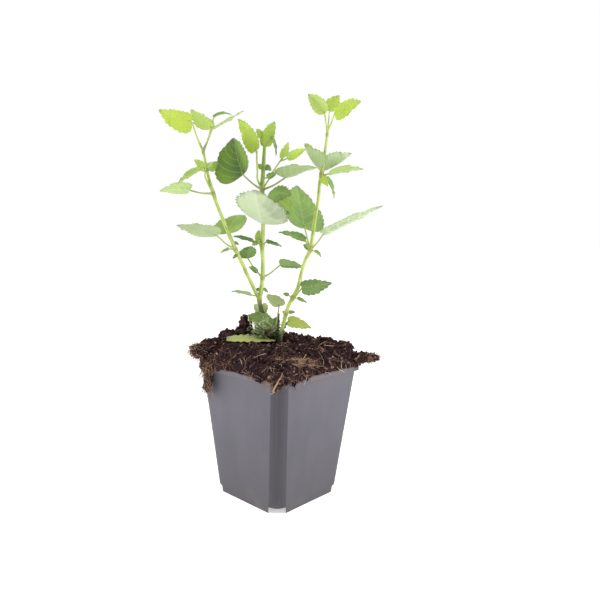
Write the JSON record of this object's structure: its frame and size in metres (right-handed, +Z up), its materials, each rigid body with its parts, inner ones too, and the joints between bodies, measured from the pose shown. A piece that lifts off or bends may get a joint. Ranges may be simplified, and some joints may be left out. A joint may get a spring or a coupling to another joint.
{
  "type": "potted anise hyssop",
  "caption": "Young upright leafy herb plant with toothed heart-shaped leaves, standing in a square tapered plastic nursery pot heaped with dark peat soil.",
  "frame": {"origin": "centre of the pot's underside, on the surface that it stands on", "axes": "+Z up, along the plant; +X and +Y square to the pot's sides"},
  "size_m": [0.1348, 0.1271, 0.3044],
  "materials": {
    "pot": "thin grey moulded polypropylene, satin",
    "soil": null,
    "leaf": null,
    "basal_leaf": null,
    "old_stem": "dry cut stem"
  },
  "bodies": {
    "root": {"pot": "pot", "soil": "soil", "main_shoots": "leaf", "right_shoot": "leaf", "crown_leaves": "basal_leaf", "cut_stub": "old_stem"}
  },
  "joints": []
}
